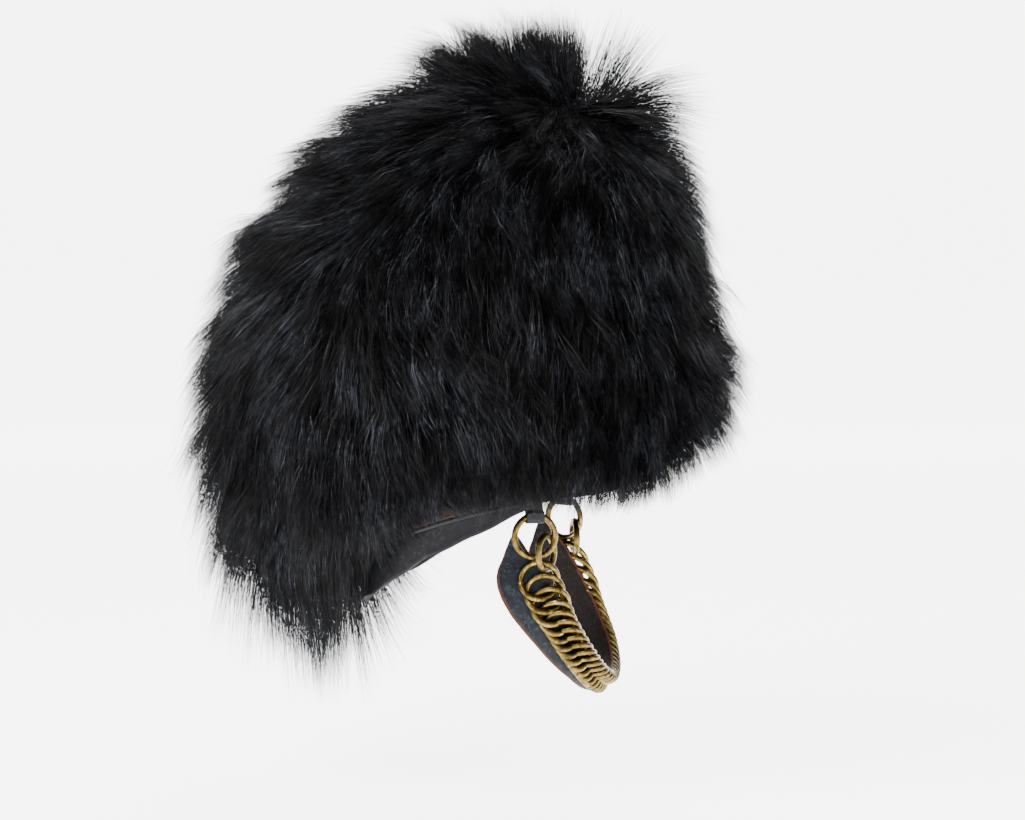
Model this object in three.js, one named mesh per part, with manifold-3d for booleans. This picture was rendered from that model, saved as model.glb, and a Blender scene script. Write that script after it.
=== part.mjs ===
// A bearskin hat: a hollow stiff hide with deep fur over it, a welt round its rim, a leather head band inside
// and a graduated brass chin chain on a leather backing that hangs from a ring at each temple.
// Millimetres, +Z up. The wearer faces -Y, the wearer's left is +X and the origin is the centre of the head
// opening.
import * as THREE from "three";
import { mergeVertices } from "three/addons/utils/BufferGeometryUtils.js";
import Module from "manifold-3d";

const wasm = await Module();
wasm.setup();

// The head opening, inside the head band
const OPENING_LENGTH = 188;
const OPENING_BREADTH = 154;

// Levels of the hide's lower edge, which arches up over the ears
const RIM_FRONT_LEVEL = 43;
const RIM_SIDE_LEVEL = 28;
const RIM_BACK_LEVEL = -10;

// Walls and the clearance between pieces
const CLEARANCE = 0.3;
const BAND_WALL = 1.6;
const HIDE_WALL = 2.4;
const WELT_DIAMETER = 3.4;
const COLLAR_HEIGHT = 11; // the upright strip of bare hide over the rim, below the swell of the body

// The body under the fur, over its outer face
const BODY_HEIGHT = 332; // from the head opening's centre to the crown
const BODY_DEPTH = 320; // from front to back
const BODY_WIDTH = 238;

// The body's sections above the collar, each an oval through a front and a back point.
// Reaches are shares of the depth, levels of the height and half widths of the width.
const BODY_SECTIONS = [
  { frontReach: 0.362, frontLevel: 0.211, backReach: 0.425, backLevel: 0.01, halfWidth: 0.405, arch: 0.032 },
  { frontReach: 0.412, frontLevel: 0.276, backReach: 0.52, backLevel: 0.085, halfWidth: 0.455, arch: 0.016 },
  { frontReach: 0.437, frontLevel: 0.367, backReach: 0.553, backLevel: 0.205, halfWidth: 0.485, arch: 0 },
  { frontReach: 0.434, frontLevel: 0.48, backReach: 0.56, backLevel: 0.345, halfWidth: 0.5, arch: 0 },
  { frontReach: 0.425, frontLevel: 0.59, backReach: 0.55, backLevel: 0.473, halfWidth: 0.497, arch: 0 },
  { frontReach: 0.415, frontLevel: 0.693, backReach: 0.506, backLevel: 0.595, halfWidth: 0.475, arch: 0 },
  { frontReach: 0.397, frontLevel: 0.779, backReach: 0.428, backLevel: 0.717, halfWidth: 0.425, arch: 0 },
  { frontReach: 0.369, frontLevel: 0.842, backReach: 0.32, backLevel: 0.831, halfWidth: 0.349, arch: 0 },
  { frontReach: 0.331, frontLevel: 0.887, backReach: 0.188, backLevel: 0.928, halfWidth: 0.252, arch: 0 },
  { frontReach: 0.281, frontLevel: 0.919, backReach: 0.025, backLevel: 1, halfWidth: 0.143, arch: 0 },
];
const WHORL_REACH = 0.2; // where the fur parts, a share of the depth forward
const WHORL_LEVEL = 0.952; // of the height

// The fur from the collar to the whorl, at the front, the side and the back: its length as a share of the
// fur's length, its lift off the hide in degrees, and how far gravity turns it down
const FUR_LENGTH = 80;
const UNDERFUR = 5; // the dense fur next to the hide
const UNDERFUR_FILL = 0.62; // the share of the pile's height that dense fur fills beside
const FUR_PILE = [
  { level: 0.0, front: 0.3, side: 0.13, back: 0.75 },
  { level: 0.09, front: 0.38, side: 0.3, back: 1.25 },
  { level: 0.18, front: 0.5, side: 0.55, back: 1.35 },
  { level: 0.3, front: 0.66, side: 0.78, back: 1.15 },
  { level: 0.5, front: 0.72, side: 0.85, back: 0.95 },
  { level: 0.85, front: 0.62, side: 0.8, back: 0.88 },
  { level: 1.0, front: 0.5, side: 0.8, back: 0.95 },
];
const FUR_LIFT = [
  { level: 0.0, front: 80, side: 30, back: 6 },
  { level: 0.09, front: 84, side: 30, back: 6 },
  { level: 0.18, front: 78, side: 28, back: 18 },
  { level: 0.3, front: 58, side: 24, back: 27 },
  { level: 0.4, front: 38, side: 24, back: 26 },
  { level: 0.5, front: 30, side: 24, back: 25 },
  { level: 0.7, front: 25, side: 26, back: 26 },
  { level: 0.85, front: 26, side: 32, back: 34 },
  { level: 0.93, front: 20, side: 42, back: 54 },
  { level: 1.0, front: 18, side: 58, back: 76 },
];
const FUR_SINK = [
  { level: 0.0, front: 0, side: 0.5, back: 0.95 },
  { level: 0.09, front: 0, side: 0.45, back: 0.9 },
  { level: 0.18, front: 0, side: 0.4, back: 0.6 },
  { level: 0.3, front: 0.05, side: 0.3, back: 0.3 },
  { level: 0.5, front: 0.15, side: 0.15, back: 0.15 },
  { level: 1.0, front: 0, side: 0, back: 0 },
];
const BACK_FOCUS = 3.5; // how closely the back's pile keeps to the back
const LOCK_SPACING = 64;
const LOCK_WIDTH = 50;
const LOCK_DEPTH = 15;
const LOCK_WAIST = 0.72; // a lock's width half way along it, as a share of that at its root
const ROUND_SPACING = 0.8; // between rounds of locks, in lock spacings
const ROOT_MARGIN = 0.4; // of a section, from the collar and from the whorl
const LOCK_STRAY = 0.25; // how far a lock strays sideways, for each unit of its length
const LOCK_VARIETY = 0.12; // how much longer or shorter a lock may be, as a share

// The loose tuft by the whorl, narrow locks that fan from upright to straight ahead
const CREST_LOCKS = 6;
const CREST_LENGTH = 68;
const CREST_WIDTH = 15;
const CREST_DEPTH = 9;
const CREST_FIRST = 112; // degrees up from straight ahead
const CREST_LAST = -4;
const CREST_SPLAY = 0.2; // to the sides by turns, for each unit of length
const CREST_ROW = 11.4; // of the body's sections
const CREST_BEARING = 45; // degrees from the front round the wearer's right

// The head band: how far it shows below the rim at the front and the nape, and how far it rises inside
const BAND_DROP_FRONT = 2;
const BAND_DROP_NAPE = 34;
const BAND_DROP_STARTS = 50; // degrees from the front
const BAND_RISE = 30;

// The tabs, their rings and the links that join them to the chain
const TAB_FORWARD = 45; // from the opening's centre
const TAB_WIDTH = 13;
const TAB_WALL = 1.2;
const TAB_RISE = 17; // inside the band
const TAB_HANG = 10; // below the band's lower edge
const TAB_SLACK = 2.6; // how far the ring stands off the tab's fold
const RING_DIAMETER = 34;
const RING_WIRE = 3.6;
const JOINING_LINK_DIAMETER = 28;
const JOINING_LINK_WIRE = 3.4;
const JOINING_LINK_TILT = 45; // degrees out of the band's face
const JOINING_LINK_SHIFTS = {
  right: { forward: 8, out: 1.5, down: 12 }, // from the ring's centre
  left: { forward: 11, out: -1.5, down: 14 },
};

// The chin chain: its largest link, and its links from a temple to the chin as shares of that link's width
// and wire. Pitches are in wires.
const LINK_WIDTH = 31;
const LINK_WIRE = 3.4;
const CHAIN_GRADES = [
  { along: 0.0, width: 1.0, wire: 1.0, pitch: 3.25 },
  { along: 0.33, width: 0.96, wire: 1.0, pitch: 3.05 },
  { along: 0.5, width: 0.84, wire: 0.93, pitch: 2.85 },
  { along: 1.0, width: 0.66, wire: 0.74, pitch: 2.78 },
];
const CHAIN_START = 29; // from the loop's end to the first link's middle, along the loop
const LINK_LEAN = 0.15; // how far a link's ends lie off the chain's mid surface, in wires
const LINK_BITE = 0.43; // half of how far crossing wires lie apart, in wires

// Route of the chin loop from the wearer's right temple to under the chin. Forward and down are shares of the
// loop's drop from the ring's centre, and right is a share of how far right the ring is.
const CHIN_DROP = 114;
const CHIN_ROUTE = [
  { forward: -0.049, right: 0.981, down: 0.041 },
  { forward: -0.014, right: 0.999, down: 0.164 },
  { forward: 0.039, right: 1.006, down: 0.304 },
  { forward: 0.113, right: 0.988, down: 0.466 },
  { forward: 0.201, right: 0.898, down: 0.646 },
  { forward: 0.289, right: 0.711, down: 0.813 },
  { forward: 0.35, right: 0.389, down: 0.944 },
  { forward: 0.372, right: 0, down: 0.997 },
];
const CHIN_CENTRE = { forward: -0.027, right: 0, down: 0.602 }; // the loop's outer face turns away from here

// The leather backing of the chain from a temple to the chin. Its width, and how far its middle is set back
// from the chain's, are shares of its full width.
const STRAP_WIDTH = 35;
const STRAP_WALL = 2.6;
const STRAP_OUTLINE = [
  { along: 0.0, width: 0.22, setBack: 0.42 },
  { along: 0.05, width: 0.5, setBack: 0.36 },
  { along: 0.1, width: 0.78, setBack: 0.32 },
  { along: 0.18, width: 0.98, setBack: 0.29 },
  { along: 0.28, width: 1.0, setBack: 0.26 },
  { along: 0.45, width: 0.9, setBack: 0.17 },
  { along: 0.7, width: 0.72, setBack: 0.09 },
  { along: 1.0, width: 0.6, setBack: 0.03 },
];

// How finely round things are divided
const AROUND = 28;
const WELT_SIDES = 6;
const FOLD_STEPS = 6;
const RING_STEPS = 16;
const RING_SIDES = 6;
const LINK_STEPS = 10;
const LINK_SIDES = 5;
const STRAP_STEPS = 44;
const FINE_STEPS = 2000; // where lengths are walked off along a curve
const PROBE = 0.02; // of a section or of a radian, where the body's slope is felt
const SAME_POINT = 1e-4; // points nearer than this are one
const SHUFFLE = { seed: 12.9898, draw: 78.233, spread: 43758.5453 };

const BLACK_FUR = { color: 0x17161a, roughness: 0.75, metalness: 0 };
const BROWN_HIDE = { color: 0x3a201a, roughness: 0.8, metalness: 0 };
const BLACK_LEATHER = { color: 0x1b1b1f, roughness: 0.45, metalness: 0 };
const WORN_LEATHER = { color: 0x2e3136, roughness: 0.6, metalness: 0 };
const BRASS = { color: 0xa88f4e, roughness: 0.35, metalness: 1 };

// A point or a direction given as forward, right and up
const place = (forward, right, up) => new THREE.Vector3(-right, -forward, up);
const UP = new THREE.Vector3(0, 0, 1);
const { lerp, clamp, degToRad } = THREE.MathUtils;

// A value of a table between evenly spaced rows, on a smooth curve
function throughRows(rows, at, column) {
  const last = rows.length - 1;
  const i = clamp(Math.floor(at), 0, last - 1);
  const value = (k) => rows[clamp(k, 0, last)][column];
  const [p0, p1, p2, p3] = [value(i - 1), value(i), value(i + 1), value(i + 2)];
  const f = at - i;
  return p1 + 0.5 * f * (p2 - p0 + f * (2 * p0 - 5 * p1 + 4 * p2 - p3 + f * (3 * (p1 - p2) + p3 - p0)));
}

// A value of a table between the rows on either side of a place, on a straight line
function betweenRows(rows, key, at, column) {
  const next = clamp(rows.findIndex((row) => row[key] >= at), 1, rows.length - 1);
  const [a, b] = [rows[next - 1], rows[next]];
  return lerp(a[column], b[column], clamp((at - a[key]) / (b[key] - a[key]), 0, 1));
}

// A mesh geometry from points and triangles, turned to face outwards
function geometryOf(points, triangles) {
  const volume = triangles.reduce((sum, _, i) => {
    if (i % 3) return sum;
    const [a, b, c] = [0, 1, 2].map((k) => points[triangles[i + k]]);
    return sum + a.dot(new THREE.Vector3().crossVectors(b, c));
  }, 0);
  const facing = volume < 0 ? [...triangles].reverse() : triangles;
  const geometry = new THREE.BufferGeometry();
  geometry.setAttribute("position", new THREE.Float32BufferAttribute(points.flatMap((p) => p.toArray()), 3));
  geometry.setIndex(facing);
  return geometry;
}

// The triangles between two loops of equal count that start at given points
function betweenLoops(a, b, count) {
  return Array.from({ length: count }, (_, j) => {
    const k = (j + 1) % count;
    return [a + j, a + k, b + k, a + j, b + k, b + j];
  }).flat();
}

const fan = (start, count, middle) =>
  Array.from({ length: count }, (_, j) => [start + j, start + ((j + 1) % count), middle]).flat();

const turned = (triangles) => [...triangles].reverse();

// A closed skin over a round of sections that joins up with itself
function roundOf(sections) {
  const n = sections[0].length;
  const triangles = sections.flatMap((_, i) => betweenLoops(i * n, ((i + 1) % sections.length) * n, n));
  return geometryOf(sections.flat(), triangles);
}

// A closed skin over a row of sections, with flat ends
function rowOf(sections) {
  const n = sections[0].length;
  const points = sections.flat();
  const triangles = sections.slice(1).flatMap((_, i) => betweenLoops(i * n, (i + 1) * n, n));
  [sections[0], sections.at(-1)].forEach((section, end) => {
    points.push(section.reduce((sum, p) => sum.add(p), new THREE.Vector3()).divideScalar(n));
    const cap = fan(end * (sections.length - 1) * n, n, points.length - 1);
    triangles.push(...(end ? cap : turned(cap)));
  });
  return geometryOf(points, triangles);
}

function solidOf(geometry) {
  const bare = geometry.clone();
  ["normal", "uv"].forEach((name) => bare.deleteAttribute(name));
  const merged = mergeVertices(bare, SAME_POINT);
  return new wasm.Manifold(
    new wasm.Mesh({
      numProp: 3,
      vertProperties: merged.attributes.position.array,
      triVerts: new Uint32Array(merged.index.array),
    }),
  );
}

// One geometry out of several that run into each other, with the pockets that they close between them filled,
// and cut back by another
function fused(geometries, cutter) {
  const skins = wasm.Manifold.union(geometries.map(solidOf)).decompose();
  const whole = wasm.Manifold.union(skins.filter((skin) => skin.volume() > 0));
  const mesh = (cutter ? whole.subtract(solidOf(cutter)) : whole).getMesh();
  const geometry = new THREE.BufferGeometry();
  geometry.setAttribute("position", new THREE.Float32BufferAttribute(mesh.vertProperties, 3));
  geometry.setIndex(new THREE.BufferAttribute(mesh.triVerts, 1));
  return geometry;
}

const hat = new THREE.Group();

function add(name, geometry, finish) {
  geometry.computeVertexNormals();
  const mesh = new THREE.Mesh(geometry, new THREE.MeshStandardMaterial({ name, ...finish }));
  mesh.name = name;
  hat.add(mesh);
}

// A piece for the wearer's right, and its mirror image, or that of another, for the left
function addPair(name, geometry, finish, forLeft = geometry) {
  add(`${name}_right`, geometry, finish);
  const other = mergeVertices(forLeft.clone().deleteAttribute("uv").deleteAttribute("normal"), SAME_POINT);
  other.applyMatrix4(new THREE.Matrix4().makeScale(-1, 1, 1));
  other.setIndex(turned(Array.from(other.index.array)));
  add(`${name}_left`, other, finish);
}

const ANGLES = Array.from({ length: AROUND }, (_, i) => (i / AROUND) * 2 * Math.PI);

// The rim: its oval over the hide's outer face and its level at an angle from the front
const RIM_HALF_LENGTH = OPENING_LENGTH / 2 + BAND_WALL + CLEARANCE + HIDE_WALL;
const RIM_HALF_BREADTH = OPENING_BREADTH / 2 + BAND_WALL + CLEARANCE + HIDE_WALL;
const RIM_ARCH = RIM_SIDE_LEVEL - (RIM_FRONT_LEVEL + RIM_BACK_LEVEL) / 2;

// The body's sections in millimetres, from the rim and the collar to the whorl
const SECTIONS = [
  ...[0, COLLAR_HEIGHT].map((rise) => ({
    front: RIM_HALF_LENGTH,
    frontUp: RIM_FRONT_LEVEL + rise,
    back: RIM_HALF_LENGTH,
    backUp: RIM_BACK_LEVEL + rise,
    half: RIM_HALF_BREADTH,
    arch: RIM_ARCH,
  })),
  ...BODY_SECTIONS.map((row) => ({
    front: row.frontReach * BODY_DEPTH,
    frontUp: row.frontLevel * BODY_HEIGHT,
    back: row.backReach * BODY_DEPTH,
    backUp: row.backLevel * BODY_HEIGHT,
    half: row.halfWidth * BODY_WIDTH,
    arch: row.arch * BODY_HEIGHT,
  })),
  {
    front: WHORL_REACH * BODY_DEPTH,
    frontUp: WHORL_LEVEL * BODY_HEIGHT,
    back: -WHORL_REACH * BODY_DEPTH,
    backUp: WHORL_LEVEL * BODY_HEIGHT,
    half: 0,
    arch: 0,
  },
];
const WHORL = SECTIONS.length - 1;
const COLLAR_TOP = 1; // the row where the fur begins

// A point of the body's outer face, by row and by angle from the front round the wearer's right
function bodyAt(row, angle) {
  const read = (column) => throughRows(SECTIONS, row, column);
  const along = Math.cos(angle);
  return place(
    (read("front") - read("back")) / 2 + (along * (read("front") + read("back"))) / 2,
    read("half") * Math.sin(angle),
    (read("frontUp") + read("backUp")) / 2 +
      (along * (read("frontUp") - read("backUp"))) / 2 +
      read("arch") * Math.sin(angle) ** 2,
  );
}

// The way down the body's face and the way straight out of it
function bodyFrame(row, angle) {
  const at = clamp(row, PROBE, WHORL - 3 * PROBE);
  const down = bodyAt(at - PROBE, angle).sub(bodyAt(at + PROBE, angle)).normalize();
  const around = bodyAt(at, angle + PROBE).sub(bodyAt(at, angle - PROBE)).normalize();
  return { down, out: new THREE.Vector3().crossVectors(around, down).normalize() };
}

const offBody = (row, angle, by) => bodyAt(row, angle).addScaledVector(bodyFrame(row, angle).out, by);

// A hollow cup between two offsets from the body, open below the given row
function cup(fromRow, outer, inner) {
  const rows = Array.from({ length: WHORL - fromRow }, (_, i) => fromRow + i);
  const faces = [outer, inner].map((offset) => [
    ...rows.flatMap((row) => ANGLES.map((angle) => offBody(row, angle, offset))),
    bodyAt(WHORL, 0).addScaledVector(UP, offset),
  ]);
  const triangles = rows.slice(1).flatMap((_, i) => betweenLoops(i * AROUND, (i + 1) * AROUND, AROUND));
  triangles.push(...fan((rows.length - 1) * AROUND, AROUND, rows.length * AROUND));
  const inside = faces[0].length;
  return geometryOf(faces.flat(), [
    ...triangles,
    ...turned(triangles.map((i) => i + inside)),
    ...turned(betweenLoops(0, inside, AROUND)),
  ]);
}

add("hide", cup(0, 0, -HIDE_WALL), BROWN_HIDE);

// A number from 0 to 1 that looks random and is the same each time
const shuffled = (seed, draw) => {
  const wave = Math.sin(seed * SHUFFLE.seed + draw * SHUFFLE.draw) * SHUFFLE.spread;
  return wave - Math.floor(wave);
};

// The pile of the fur at a place: its length, its lift off the hide in radians and how far gravity turns it
function pileAt(row, angle) {
  const front = Math.max(0, Math.cos(angle)) ** 2;
  const back = Math.max(0, -Math.cos(angle)) ** BACK_FOCUS;
  const level = (row - COLLAR_TOP) / (WHORL - COLLAR_TOP);
  const mixed = (rows) => {
    const read = (column) => betweenRows(rows, "level", level, column);
    return front * read("front") + (1 - front - back) * read("side") + back * read("back");
  };
  return { length: FUR_LENGTH * mixed(FUR_PILE), lift: degToRad(mixed(FUR_LIFT)), sink: mixed(FUR_SINK) };
}

// How far the dense fur stands off the hide
function underfurAt(row, angle) {
  const { length, lift } = pileAt(Math.max(row, COLLAR_TOP), angle);
  return CLEARANCE + UNDERFUR + UNDERFUR_FILL * length * Math.sin(lift);
}

// A three-sided strip that narrows to a point
function tapered({ root, way, across, reach, width, depth }) {
  const over = new THREE.Vector3().crossVectors(across, way).normalize();
  const section = (share, swell) => {
    const middle = root.clone().addScaledVector(way, reach * share);
    return [
      middle.clone().addScaledVector(across, (-width / 2) * swell),
      middle.clone().addScaledVector(over, depth * swell),
      middle.clone().addScaledVector(across, (width / 2) * swell),
    ];
  };
  const points = [...section(0, 1), ...section(0.5, LOCK_WAIST), root.clone().addScaledVector(way, reach)];
  return geometryOf(points, [...betweenLoops(0, 3, 3), ...fan(3, 3, 6), 2, 1, 0]);
}

// One lock, which leaves the underfur and lies the way of the pile
function lock(row, angle, seed) {
  const { down, out } = bodyFrame(row, angle);
  const { length, lift, sink } = pileAt(row, angle);
  const lie = down.clone().lerp(UP.clone().negate(), sink);
  lie.addScaledVector(out, Math.max(0, -lie.dot(out))).normalize();
  const across = new THREE.Vector3().crossVectors(lie, out).normalize();
  const way = lie
    .multiplyScalar(Math.cos(lift))
    .addScaledVector(out, Math.sin(lift))
    .addScaledVector(across, LOCK_STRAY * (2 * shuffled(seed, 3) - 1))
    .normalize();
  const reach = length * (1 + LOCK_VARIETY * (2 * shuffled(seed, 1) - 1));
  const width = LOCK_WIDTH * (1 + LOCK_VARIETY * (2 * shuffled(seed, 2) - 1));
  const root = offBody(row, angle, CLEARANCE + UNDERFUR / 2);
  return tapered({ root, way, across, reach, width, depth: LOCK_DEPTH });
}

// The locks of the loose tuft
function crest() {
  return Array.from({ length: CREST_LOCKS }, (_, i) => {
    const rise = degToRad(lerp(CREST_FIRST, CREST_LAST, i / (CREST_LOCKS - 1)));
    const way = place(Math.cos(rise), i % 2 ? CREST_SPLAY : -CREST_SPLAY, Math.sin(rise)).normalize();
    return tapered({
      root: offBody(CREST_ROW, degToRad(CREST_BEARING), CLEARANCE + UNDERFUR / 2),
      way,
      across: new THREE.Vector3().crossVectors(way, place(0, 1, 0)).normalize(),
      reach: CREST_LENGTH,
      width: CREST_WIDTH,
      depth: CREST_DEPTH,
    });
  });
}

// Rounds of locks from the collar to the whorl, each half a lock round from the last
function locks() {
  const made = [];
  const fine = Array.from({ length: FINE_STEPS + 1 }, (_, i) =>
    lerp(COLLAR_TOP + ROOT_MARGIN, WHORL - ROOT_MARGIN, i / FINE_STEPS),
  );
  let walked = 0;
  fine.forEach((row, i) => {
    const before = fine[Math.max(0, i - 1)];
    walked += bodyAt(row, Math.PI / 2).distanceTo(bodyAt(before, Math.PI / 2));
    if (i > 0 && walked < LOCK_SPACING * ROUND_SPACING) return;
    walked = 0;
    const girth = ANGLES.reduce(
      (sum, angle, k) => sum + bodyAt(row, angle).distanceTo(bodyAt(row, ANGLES[(k + 1) % AROUND])),
      0,
    );
    const count = Math.max(4, Math.round(girth / LOCK_SPACING));
    const shift = i % 2 ? 0.5 : 0;
    for (let k = 0; k < count; k += 1) made.push(lock(row, ((k + shift) / count) * 2 * Math.PI, made.length));
  });
  return made;
}

// A point at an offset outside the head opening's oval, above or below the rim
function aboutRim(angle, offset, rise) {
  const level = bodyAt(0, angle).z;
  return place(
    (OPENING_LENGTH / 2 + offset) * Math.cos(angle),
    (OPENING_BREADTH / 2 + offset) * Math.sin(angle),
    level + rise,
  );
}

// The solid inside an offset from the body, which may vary, from the given row up, with more loops under it
function bodySolid(fromRow, offset, under = []) {
  const rows = Array.from({ length: WHORL - fromRow }, (_, i) => fromRow + i);
  const loopAt = (row) => ANGLES.map((angle) => offBody(row, angle, offset(row, angle)));
  const loops = [...under, ...rows.map(loopAt)];
  const points = [...loops.flat(), bodyAt(WHORL, 0).addScaledVector(UP, offset(WHORL, 0))];
  const floor = loops[0].reduce((sum, p) => sum.add(p), new THREE.Vector3()).divideScalar(AROUND);
  const last = (loops.length - 1) * AROUND;
  return geometryOf([...points, floor], [
    ...loops.slice(1).flatMap((_, i) => betweenLoops(i * AROUND, (i + 1) * AROUND, AROUND)),
    ...fan(last, AROUND, points.length - 1),
    ...turned(fan(0, AROUND, points.length)),
  ]);
}

// The underfur and its locks, kept clear of the hide and of the welt under it
function fur() {
  const beside = BAND_WALL + CLEARANCE + WELT_DIAMETER + CLEARANCE;
  const underRim = [-2 * FUR_LENGTH, 0].map((rise) => ANGLES.map((angle) => aboutRim(angle, beside, rise)));
  const underfur = bodySolid(COLLAR_TOP, underfurAt);
  return fused([underfur, ...locks(), ...crest()], bodySolid(0, () => CLEARANCE, underRim));
}

add("fur", fur(), BLACK_FUR);

// The welt lies under the hide's edge, flush with its inner face
function welt() {
  const middle = BAND_WALL + CLEARANCE + WELT_DIAMETER / 2;
  return roundOf(
    ANGLES.map((angle) =>
      Array.from({ length: WELT_SIDES }, (_, i) => {
        const turn = (i / WELT_SIDES) * 2 * Math.PI;
        const offset = middle + (WELT_DIAMETER / 2) * Math.cos(turn);
        return aboutRim(angle, offset, -CLEARANCE - (WELT_DIAMETER / 2) * (1 + Math.sin(turn)));
      }),
    ),
  );
}

add("rim_welt", welt(), BLACK_LEATHER);

// How far the head band shows below the rim
function bandDrop(angle) {
  const fromFront = Math.PI - Math.abs(Math.PI - angle);
  const starts = degToRad(BAND_DROP_STARTS);
  const share = clamp((fromFront - starts) / (Math.PI - starts), 0, 1);
  return lerp(BAND_DROP_FRONT, BAND_DROP_NAPE, Math.sin((share * Math.PI) / 2));
}

const headBand = roundOf(
  ANGLES.map((angle) => [
    aboutRim(angle, 0, -bandDrop(angle)),
    aboutRim(angle, BAND_WALL, -bandDrop(angle)),
    aboutRim(angle, BAND_WALL, BAND_RISE),
    aboutRim(angle, 0, BAND_RISE),
  ]),
);
add("head_band", headBand, BLACK_LEATHER);

// The flat of the head band's inner face that holds the tab: a place on the band's lower edge and the way
// straight out
function tabSeat() {
  const ends = ANGLES.slice(0, AROUND / 2).map((angle, i) =>
    [angle, ANGLES[i + 1]].map((end) => aboutRim(end, 0, -bandDrop(end))),
  );
  const [p, q] = ends.find(([, back]) => -back.y < TAB_FORWARD);
  const length = Math.hypot(q.x - p.x, q.y - p.y);
  const margin = (TAB_WIDTH / 2 + CLEARANCE) / length;
  const share = clamp((-p.y - TAB_FORWARD) / (q.y - p.y), margin, 1 - margin);
  const out = new THREE.Vector3().crossVectors(p.clone().sub(q).setZ(0), UP).normalize();
  const slope = Math.abs(p.z - q.z) / length;
  return { edge: p.clone().lerp(q, share).addScaledVector(UP, (-slope * TAB_WIDTH) / 2), out };
}
const SEAT = tabSeat();

// The tab in section: a doubled tongue inside the band that opens below it into a loop round the ring.
// Measured out from the band's inner face and up from its lower edge.
const SLOT = RING_WIRE + 2 * CLEARANCE;
const TAB_BACK = -CLEARANCE - 2 * TAB_WALL;
const SLOT_BACK = TAB_BACK + TAB_WALL;
const SLOT_FOOT = -TAB_HANG + TAB_WALL + SLOT / 2;
const RING_OUT = SLOT_BACK + SLOT / 2;
const RING_TOP = SLOT_FOOT + TAB_SLACK; // the middle of the wire
const SLOT_TOP = RING_TOP + RING_WIRE / 2 + CLEARANCE;
const SLOT_CHAMFER = RING_WIRE / 3;

function tab() {
  const outline = new THREE.Shape();
  outline.moveTo(TAB_BACK, TAB_RISE);
  outline.lineTo(TAB_BACK, SLOT_FOOT);
  outline.absarc(RING_OUT, SLOT_FOOT, SLOT / 2 + TAB_WALL, Math.PI, 2 * Math.PI);
  outline.lineTo(SLOT_BACK + SLOT + TAB_WALL, SLOT_TOP - CLEARANCE);
  outline.lineTo(-CLEARANCE, -CLEARANCE);
  outline.lineTo(-CLEARANCE, TAB_RISE);
  const slot = new THREE.Path();
  slot.moveTo(SLOT_BACK, SLOT_FOOT);
  slot.absarc(RING_OUT, SLOT_FOOT, SLOT / 2, Math.PI, 2 * Math.PI);
  slot.lineTo(SLOT_BACK + SLOT, RING_TOP + SLOT_CHAMFER);
  slot.lineTo(RING_OUT + SLOT_CHAMFER, SLOT_TOP);
  slot.lineTo(SLOT_BACK, SLOT_TOP);
  outline.holes.push(slot);
  const options = { depth: TAB_WIDTH, curveSegments: FOLD_STEPS, bevelEnabled: false };
  const geometry = new THREE.ExtrudeGeometry(outline, options).translate(0, 0, -TAB_WIDTH / 2);
  const along = new THREE.Vector3().crossVectors(SEAT.out, UP);
  return geometry.applyMatrix4(new THREE.Matrix4().makeBasis(SEAT.out, UP, along).setPosition(SEAT.edge));
}

addPair("tab", tab(), BLACK_LEATHER);

// The ring hangs in the tab's loop, in the plane of the band
const RING_RADIUS = (RING_DIAMETER - RING_WIRE) / 2;
const RING_CENTRE = SEAT.edge
  .clone()
  .addScaledVector(SEAT.out, RING_OUT)
  .addScaledVector(UP, RING_TOP - RING_RADIUS);

function ring() {
  const geometry = new THREE.TorusGeometry(RING_RADIUS, RING_WIRE / 2, RING_SIDES, RING_STEPS);
  const across = new THREE.Vector3().crossVectors(UP, SEAT.out);
  return geometry.applyMatrix4(new THREE.Matrix4().makeBasis(across, UP, SEAT.out).setPosition(RING_CENTRE));
}

addPair("ring", ring(), BRASS);

// The chin loop's curve, and at a share of it the way along, the way across and the way out of its face
const byRing = ({ forward, right, down }) =>
  place(
    CHIN_DROP * forward - RING_CENTRE.y,
    -RING_CENTRE.x * right,
    RING_CENTRE.z - CHIN_DROP * down,
  );
const rightSide = CHIN_ROUTE.map(byRing);
const leftSide = rightSide.slice(0, -1).reverse();
const chinLoop = new THREE.CatmullRomCurve3([...rightSide, ...leftSide.map((p) => p.clone().setX(-p.x))]);
const CHIN_LENGTH = chinLoop.getLength();

function chinFrame(share) {
  const point = chinLoop.getPointAt(share);
  const along = chinLoop.getTangentAt(share);
  const out = point.clone().sub(byRing(CHIN_CENTRE));
  out.addScaledVector(along, -out.dot(along)).normalize();
  return { point, along, out, rear: new THREE.Vector3().crossVectors(along, out) };
}

const towardsChin = (share) => 1 - Math.abs(2 * share - 1);

// A ring of wire on two directions, whose ends may lean and whose sides may be twisted out of its plane
class WireLoop extends THREE.Curve {
  constructor({ centre, along, across, out, radius, lean = 0, twist = 0 }) {
    super();
    Object.assign(this, { centre, along, across, out, radius, lean, twist });
  }

  getPoint(t, target = new THREE.Vector3()) {
    const turn = 2 * Math.PI * t;
    return target
      .copy(this.centre)
      .addScaledVector(this.along, this.radius * Math.cos(turn))
      .addScaledVector(this.across, this.radius * Math.sin(turn))
      .addScaledVector(this.out, this.twist * Math.sin(2 * turn) - this.lean * Math.cos(turn));
  }
}

const wired = (loop, wire) => new THREE.TubeGeometry(loop, LINK_STEPS, wire / 2, LINK_SIDES, true);

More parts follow.
